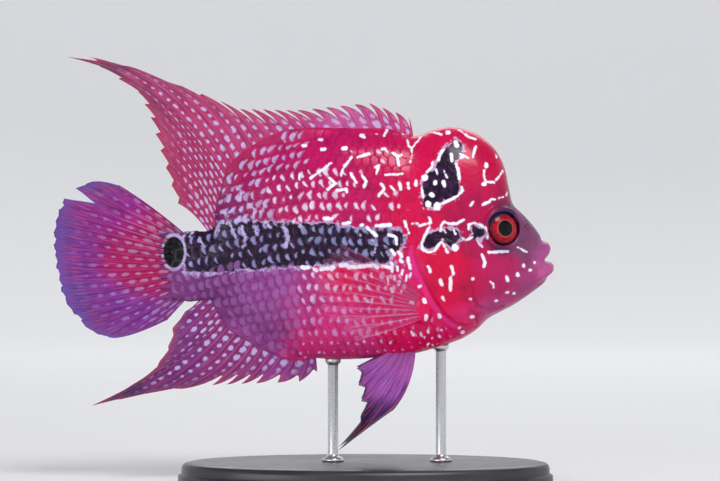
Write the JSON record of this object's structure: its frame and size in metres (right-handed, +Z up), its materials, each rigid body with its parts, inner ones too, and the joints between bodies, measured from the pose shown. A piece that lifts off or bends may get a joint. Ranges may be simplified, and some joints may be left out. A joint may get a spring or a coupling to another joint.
{
  "type": "flowerhorn cichlid model",
  "caption": "Life-size still model of a flowerhorn cichlid with a tall nape hump and trailing fins, held on rods over an oval base.",
  "frame": {"origin": "middle of the flat underside of the stand's base plane, on the fish's middle plane under the mount point", "axes": "+X towards the snout, +Y towards the fish's left, +Z up"},
  "size_m": [0.1202, 0.052, 0.1023],
  "materials": {
    "scaled_skin": "wet, softly glossy painted skin with raised scales",
    "fin": "thin satin membrane with raised rays",
    "eye": "clear glossy eye",
    "stand_base": "satin dark base",
    "stand_rod": "brushed"
  },
  "bodies": {
    "root": {"head": "scaled_skin", "nuchal_hump": "scaled_skin", "lower_jaw": "scaled_skin", "torso": "scaled_skin", "tail_base": "scaled_skin", "dorsal_fin": "fin", "anal_fin": "fin", "caudal_fin": "fin", "gill_cover_right": "scaled_skin", "gill_cover_left": "scaled_skin", "eye_right": "eye", "eye_left": "eye", "pectoral_fin_right": "fin", "pectoral_fin_left": "fin", "pelvic_fin_right": "fin", "pelvic_fin_left": "fin", "stand_base": "stand_base", "stand_rod_front": "stand_rod", "stand_rod_back": "stand_rod"}
  },
  "joints": []
}
